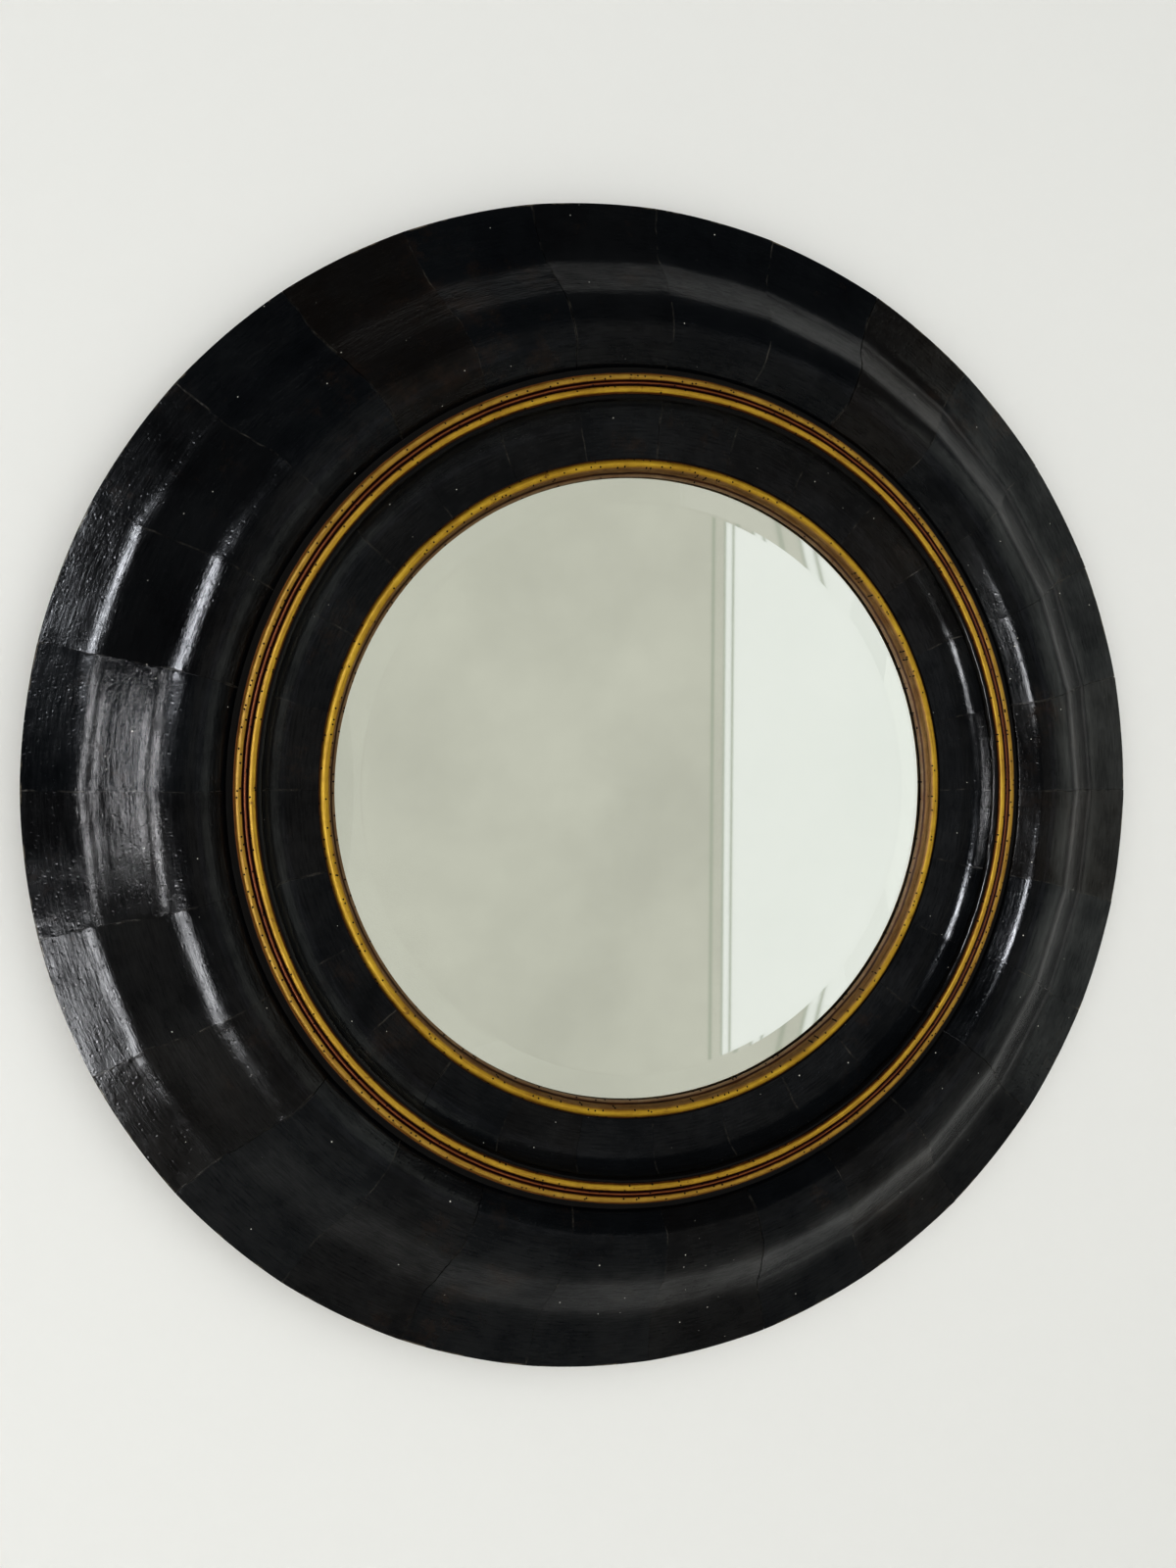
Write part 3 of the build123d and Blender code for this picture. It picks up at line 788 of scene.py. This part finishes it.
bead_centre, bead_height, bead_radius = SLIP_BEAD
shoulder_angle = degrees(asin((SLIP_SHOULDER - bead_height) / bead_radius))
cove_angle = degrees(atan2(SLIP_COVE[1] - bead_height, SLIP_COVE[0] - bead_centre)) % 360.0
slip_section = [(SIGHT_RADIUS, SLIP_BOTTOM), (SLIP_RADIUS, SLIP_BOTTOM),
                (SLIP_RADIUS, SLIP_SHOULDER)]
slip_section += arc(bead_centre, bead_height, bead_radius, shoulder_angle, cove_angle, 20)
slip_section += soft_bend(SLIP_COVE, SLIP_COVE_HOLLOW, SLIP_LIP, 8)
finish_piece(turned_ring("gilt_sight_slip", slip_section, SEGMENTS, SLIP_GOLD, wander=0.4,
                         dents=0.3), BODY, "gilding", "gilt_slip")

# lacquer that ran together in the two grooves beside the reed; the deep black pool in the groove
# outside it is painted shade of that groove
INNER_POOL = [(331.8, 44.0), (331.8, 48.1), (330.6, 48.3), (329.4, 47.9), (328.2, 46.6),
              (327.3, 44.6), (327.6, 43.2)]
# the pool outside the reed: deep black painted shade in the groove
OUTER_POOL_GROOVE_SHADE = [(354.9, 44.6), (354.2, 46.2), (352.6, 45.8), (350.9, 45.4), (348.9, 45.6),
              (348.9, 43.0)]
for label, section, wander, wander_scale, dents in (
        ("inside", INNER_POOL, 2.4, 12.0, 0.9), ("outside", OUTER_POOL_GROOVE_SHADE, 1.0, 18.0, 0.7)):
    finish_piece(turned_ring(f"lacquer_line_{label}_reed", section, FINE_SEGMENTS, LACQUER_AND_GROOVE_SHADE, wander,
                             wander_scale, dents), BODY, "ebonised_facing")

glass_foot = GLASS_BACK + BEVEL_EDGE
glass_section = [(0.0, GLASS_BACK), (GLASS_RADIUS - ARRIS, GLASS_BACK),
                 (GLASS_RADIUS, GLASS_BACK + ARRIS), (GLASS_RADIUS, glass_foot - ARRIS),
                 (GLASS_RADIUS - ARRIS, glass_foot), (GLASS_RADIUS - BEVEL_WIDTH, GLASS_FRONT),
                 (0.0, GLASS_FRONT)]
finish_piece(turned_ring("bevelled_plate", glass_section, SEGMENTS, plate_glass(), sharp=3.0),
             BODY, "plate_glass", "bevelled_glass")

# ---------------------------------------------------------------- hanging rings and screws
WIRE_RADIUS = 1.75
RING_HALF_WIDTH, RING_LEG, RING_CORNER = 15.0, 12.0, 4.0
STRAP_SCREW_DROPS = [16.0, 34.0]
BARREL_RADIUS, STRAP_THICKNESS = 3.45, 1.5
HEAD_RADIUS, FLAT_HEAD_RADIUS, SLOT_WIDTH, SLOT_DEPTH = 4.0, 3.9, 1.0, 0.9
SCREW_TIP, THREAD_START, THREAD_END, SHANK_START = -13.5, -13.2, -3.0, -2.5
THREAD_ROOT, THREAD_CREST, THREAD_PITCH, SHANK_RADIUS = 1.4, 1.95, 1.3, 2.0
BUTTON_SEAT, DOME_HEIGHT = 2.8, 2.2
BUTTON_SCREW_SEED, STRAP_SCREW_SEED = 3, 5


def wire_tree():
    """Round wire bent along a closed path."""
    tree, given = new_tree("bent wire", [
        ("Wire Radius", "Float"), ("Facets", "Int"), ("Material", "Material")])
    path = add(tree, "GeometryNodeMeshToCurve", {"Mesh": given["Geometry"]})
    rod = add(tree, "GeometryNodeCurvePrimitiveCircle", {"Resolution": given["Facets"],
                                                         "Radius": given["Wire Radius"]})
    wire = add(tree, "GeometryNodeCurveToMesh", {"Curve": path.outputs["Curve"],
                                                 "Profile Curve": rod.outputs["Curve"]})
    close_tree(tree, wire.outputs["Mesh"], given["Material"])
    return tree


def ring_path():
    """The D of a hanging ring in its own plane: x across and y up, with the bar on y = 0."""
    wide, leg, bend = RING_HALF_WIDTH, RING_LEG, RING_CORNER
    path = [((-wide + bend) + (2 * wide - 2 * bend) * k / 8, 0.0) for k in range(8)]
    path += arc(wide - bend, -bend, bend, 90, 0, 6)
    path += arc(0, -leg, wide, 0, -180, 28)
    path += arc(-wide + bend, -bend, bend, 180, 90, 6)[:-1]
    return path


WIRE_TREE = wire_tree()
for side in ("left", "right"):
    node_low, node_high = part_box(f"hanging_ring_{side}")
    middle_x, axis_y = (node_low.x + node_high.x) / 2, (node_low.y + node_high.y) / 2
    axis_z = node_high.z - WIRE_RADIUS * MM
    loop = [Vector((middle_x + x * MM, axis_y, axis_z + y * MM)) for x, y in ring_path()]
    base = bpy.data.meshes.new("ring_path")
    base.from_pydata(loop, [(k, (k + 1) % len(loop)) for k in range(len(loop))], [])
    ring = grow(f"hanging_wire_ring_{side}", base, WIRE_TREE, {
        "Wire Radius": WIRE_RADIUS * MM, "Facets": 20, "Material": STEEL})
    finish_piece(ring, f"hanging_ring_{side}", "zinc_steel", f"hanging_ring_{side}")


def screw_tree():
    """A screw set at each point, each turned so that its slot lies at its own angle."""
    tree, given = new_tree("set screws", [
        ("Screw", "Object"), ("Seed", "Int"), ("Material", "Material")])
    chosen = add(tree, "GeometryNodeObjectInfo", {"Object": given["Screw"]})
    number = add(tree, "GeometryNodeInputIndex").outputs["Index"]
    draw = live_output(add(tree, "FunctionNodeRandomValue", {
        "Min": 0.0, "Max": pi, "ID": number, "Seed": given["Seed"]}, data_type="FLOAT"))
    angles = add(tree, "ShaderNodeCombineXYZ", {"Y": draw})
    placed = add(tree, "GeometryNodeInstanceOnPoints",
                 {"Points": given["Geometry"], "Instance": chosen.outputs["Geometry"],
                  "Rotation": angles.outputs["Vector"]})
    close_tree(tree, placed.outputs["Instances"], given["Material"])
    return tree


def slotted_screw(name, profile):
    """A turned screw about the Y axis with a straight slot; profile is (radius, y) from the tip."""
    spots = [(r * MM, y * MM, 0.0) for r, y in profile]
    base = shell(name + "_section", spots, [])
    screw = grow(name, base, RING_TREE, {"Points": len(spots), "Segments": 40, "Wander": 0.0,
                                         "Wander Scale": 1.0, "Dents": 0.0, "Material": None})
    top = max(y for _, y in profile) * MM
    wide, deep, across = 3 * HEAD_RADIUS * MM, SLOT_DEPTH * MM, SLOT_WIDTH / 2 * MM
    cutter = new_object("slot", box_shell("slot", (-wide, top - deep, -across),
                                          (wide, top + deep, across)))
    cut = screw.modifiers.new("slot", "BOOLEAN")
    cut.object, cut.operation, cut.solver = cutter, "DIFFERENCE", "EXACT"
    mesh = applied_mesh(screw)
    bpy.data.objects.remove(cutter)
    screw.modifiers.clear()
    screw.data = mesh
    return screw


def set_screws(name, screw, places, seed, material, slot, node):
    """A screw at every place, joined as one piece."""
    base = shell(name + "_places", places, [])
    piece = grow(name, base, SCREW_TREE, {"Screw": screw, "Seed": seed, "Material": material}, 30.0)
    bpy.data.objects.remove(screw)
    return finish_piece(piece, BODY, slot, node)


def threaded_shank():
    """Outline of a screw from its tip, over a thread that grows in three turns, to its shank."""
    outline = [(0.0, SCREW_TIP)]
    for k in range(int((THREAD_END - THREAD_START) / THREAD_PITCH)):
        grown = min(1.0, (k + 1) / 3)
        outline += [(THREAD_ROOT * grown, THREAD_START + k * THREAD_PITCH),
                    (THREAD_CREST * grown, THREAD_START + (k + 0.5) * THREAD_PITCH)]
    return outline + [(SHANK_RADIUS, SHANK_START)]


SCREW_TREE = screw_tree()
dome_rise = [(HEAD_RADIUS * cos(a), BUTTON_SEAT + DOME_HEIGHT * sin(a))
             for a in (pi / 2 * k / 8 for k in range(1, 8))]
round_head = slotted_screw("round_head_screw", threaded_shank() + [
    (SHANK_RADIUS, BUTTON_SEAT), (HEAD_RADIUS, BUTTON_SEAT)] + dome_rise + [
    (0.0, BUTTON_SEAT + DOME_HEIGHT)])
button_places = [(j["pos_m"][0], BACK_Y, j["pos_m"][2]) for j in frame["joints"]
                 if j["name"].startswith("button_turn")]
set_screws("button_screws_set", round_head, button_places, BUTTON_SCREW_SEED, BRASS, "brass",
           "button_screws")

flat_head = slotted_screw("flat_head_screw", threaded_shank() + [
    (SHANK_RADIUS, 0.0), (FLAT_HEAD_RADIUS, STRAP_THICKNESS), (0.0, STRAP_THICKNESS)])
strap_places = []
for side in ("left", "right"):
    node_low, node_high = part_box(f"hanger_strap_{side}")
    for drop in STRAP_SCREW_DROPS:
        strap_places.append(((node_low.x + node_high.x) / 2, BACK_Y,
                             node_high.z - (BARREL_RADIUS + drop) * MM))
set_screws("strap_screws_set", flat_head, strap_places, STRAP_SCREW_SEED, STEEL, "zinc_steel",
           "strap_screws")

# ---------------------------------------------------------------- stage, lights and camera


def sheet_of(name, corners, material, room=False):
    """A flat stage sheet, corners anticlockwise as seen from its lit side.

    A sheet of the room behind the viewer is only there to be mirrored.
    """
    piece = new_object(name, shell(name, corners, [(0, 1, 2, 3)]))
    piece.data.materials.append(material)
    if room:
        piece.visible_camera = piece.visible_shadow = piece.visible_diffuse = False
    return piece


def glow(name, colour, strength, mottle=0.0):
    """A plainly lit surface of the room, with a faint plaster mottle where asked."""
    material = bpy.data.materials.new(name)
    material.use_nodes = True
    tree = material.node_tree
    tree.nodes.clear()
    light = add(tree, "ShaderNodeEmission", {"Color": tint(colour), "Strength": strength})
    if mottle:
        cloud = noise(tree, object_place(tree), 1.6, 5.0, 0.6)
        feed(tree, light, {"Strength": fit(tree, cloud, 0.3, 0.7, strength * (1 - mottle),
                                           strength * (1 + mottle))})
    add(tree, "ShaderNodeOutputMaterial", {"Surface": light.outputs["Emission"]})
    return material


def pale_paint(name, colour, one_sided=False):
    """Matt pale paint; a one-sided sheet isn't there when looked at from behind."""
    material, tree, shader = finish(name)
    feed(tree, shader, {"Base Color": tint(colour), "Roughness": 0.9})
    if one_sided:
        clear = add(tree, "ShaderNodeBsdfTransparent")
        side = add(tree, "ShaderNodeNewGeometry").outputs["Backfacing"]
        both = add(tree, "ShaderNodeMixShader", {0: side, 1: shader.outputs["BSDF"],
                                                 2: clear.outputs["BSDF"]})
        tree.links.new(both.outputs["Shader"], tree.nodes["Material Output"].inputs["Surface"])
    return material


WALL_Y, WALL_REACH = 0.001, 6.0
FLOOR_Z, FLOOR_REACH = -1.55, 40.0
wall = sheet_of("wall", [(-WALL_REACH, WALL_Y, FLOOR_Z), (WALL_REACH, WALL_Y, FLOOR_Z),
                         (WALL_REACH, WALL_Y, WALL_REACH), (-WALL_REACH, WALL_Y, WALL_REACH)],
                pale_paint("matt white wall", "#EAEAE8", one_sided=True))
wall.visible_shadow = False
sheet_of("floor", [(-FLOOR_REACH, -FLOOR_REACH, FLOOR_Z), (FLOOR_REACH, -FLOOR_REACH, FLOOR_Z),
                   (FLOOR_REACH, FLOOR_REACH, FLOOR_Z), (-FLOOR_REACH, FLOOR_REACH, FLOOR_Z)],
         pale_paint("matt pale floor", "#DDDCD8"))

# the plastered wall and the door casing behind the viewer, as the glass mirrors them
ROOM_Y = -3.0
ROOM_BOTTOM, ROOM_TOP = FLOOR_Z + 0.01, 1.9
ROOM_LIGHT = 1.0
PLASTER = glow("pale grey-green plaster", "#BAB8B3", ROOM_LIGHT, mottle=0.07)
DOOR_PAINT = glow("off-white door paint", "#D9D9DB", ROOM_LIGHT)
QUIRK = glow("shaded quirk of the architrave", "#A3A69E", ROOM_LIGHT)
for strip, left, right, paint in (
        ("plaster", -0.6, 1.345, PLASTER), ("outer_quirk", 1.345, 1.357, QUIRK),
        ("outer_fillet", 1.357, 1.392, PLASTER), ("middle_quirk", 1.392, 1.40, QUIRK),
        ("architrave", 1.40, 1.424, DOOR_PAINT), ("inner_quirk", 1.424, 1.433, QUIRK),
        ("door", 1.433, 2.75, DOOR_PAINT)):
    sheet_of(strip, [(left, ROOM_Y, ROOM_BOTTOM), (left, ROOM_Y, ROOM_TOP),
                     (right, ROOM_Y, ROOM_TOP), (right, ROOM_Y, ROOM_BOTTOM)], paint, room=True)


def card_from(name, radius, azimuth, right, up, distance, width, height, material):
    """A lit card seen from a spot of the ring; right and up are degrees off straight ahead."""
    right, up = radians(right), radians(up)
    ray = Vector((sin(right) * cos(up), -cos(right) * cos(up), sin(up)))
    side = Vector((cos(right), sin(right), 0.0)) * width / 2
    top = ray.cross(side).normalized() * height / 2
    if top.z < 0:
        top = -top
    centre = place(radius, 20.0, radians(azimuth)) + ray * distance
    corners = [centre - side - top, centre - side + top, centre + side + top, centre + side - top]
    return sheet_of(name, corners, material, room=True)


SUN_SLOT = glow("bright window slot", "#F6F9FF", 46.0)
LOW_SUN_SLOT = glow("lower window slot", "#F8F9FC", 26.0)
WINDOW_EDGE = glow("window edge", "#F4F4F6", 48.0)
WINDOW_PANE = glow("hazy window pane", "#EDEBEA", 1.3)
BEHIND = glow("pale room behind the frame", "#E4E6E6", 1.0)
SIDE_ROOM = glow("far side of the room", "#DDE0DA", 1.35)
card_from("high_slot", 463.0, 160.0, -30.0, 15.5, 6.0, 0.75, 1.50, SUN_SLOT)
card_from("low_slot", 463.0, 200.0, -26.0, -18.0, 3.3, 0.60, 0.88, LOW_SUN_SLOT)
card_from("window_near_edge", 445.0, 180.0, -47.0, -1.0, 1.2, 0.06, 0.60, WINDOW_EDGE)
card_from("window_pane", 425.0, 180.0, -60.0, -1.0, 1.2, 0.46, 0.56, WINDOW_PANE)
card_from("window_far_edge", 405.0, 180.0, -71.0, 0.0, 1.2, 0.06, 0.52, WINDOW_EDGE)
card_from("behind_frame", 425.0, 90.0, 172.0, 6.0, 3.2, 6.0, 4.6, BEHIND)
card_from("far_side", 425.0, 0.0, 62.0, 4.0, 3.2, 2.4, 4.2, SIDE_ROOM)


def area_lamp(name, spot, size, power, colour, glossy):
    """A square lamp aimed at the mirror's centre; the camera and the glass never see it."""
    data = bpy.data.lights.new(name, "AREA")
    data.shape, data.size, data.energy, data.color = "SQUARE", size, power, tint(colour)[:3]
    lamp = new_object(name, data)
    lamp.location = spot
    lamp.rotation_mode = "QUATERNION"
    lamp.rotation_quaternion = (-Vector(spot)).to_track_quat("-Z", "Y")
    lamp.visible_glossy = glossy
    lamp.visible_camera = lamp.visible_transmission = False


area_lamp("soft_key", (1.5, -2.8, 0.8), 3.0, 15.0, "#FFFFFD", False)
area_lamp("soft_fill", (-1.7, -3.0, -0.5), 3.6, 38.0, "#FFFFFE", False)
area_lamp("soft_back", (-1.6, 2.4, 1.6), 2.0, 45.0, "#FFFFFF", True)

world = bpy.data.worlds.new("pale room")
bpy.context.scene.world = world
world.use_nodes = True
feed(world.node_tree, world.node_tree.nodes["Background"],
     {"Color": tint("#E4E5E4"), "Strength": 0.56})
world.cycles_visibility.glossy = False

# the unlit rest of the room, which only polished surfaces show
ROOM_HALF = 9.0
dim_room = new_object("dim_room", box_shell("dim_room", [-ROOM_HALF] * 3, [ROOM_HALF] * 3))
dim_room.data.materials.append(glow("dim walls of the room", "#D9DCDD", 0.20))
dim_room.visible_camera = dim_room.visible_diffuse = dim_room.visible_shadow = False

CAMERA_SPOT = (-0.3621, -0.9909, 0.0236)
CAMERA_LOOK = Vector((0.3005, 0.9536, -0.0182))
lens = bpy.data.cameras.new("camera")
lens.sensor_fit, lens.sensor_height, lens.sensor_width, lens.lens = "AUTO", 36.0, 36.0, 27.2
camera = new_object("camera", lens)
forward = CAMERA_LOOK.normalized()
rightward = (Vector((1, 0, 0)) - forward * forward.x).normalized()
upward = rightward.cross(forward)
camera.matrix_world = Matrix.Translation(CAMERA_SPOT) @ Matrix(
    (rightward, upward, -forward)).transposed().to_4x4()
lens.clip_start = 0.01
bpy.context.scene.camera = camera
bpy.context.scene.view_settings.view_transform = "Standard"
bpy.context.scene.view_settings.look = "High Contrast"
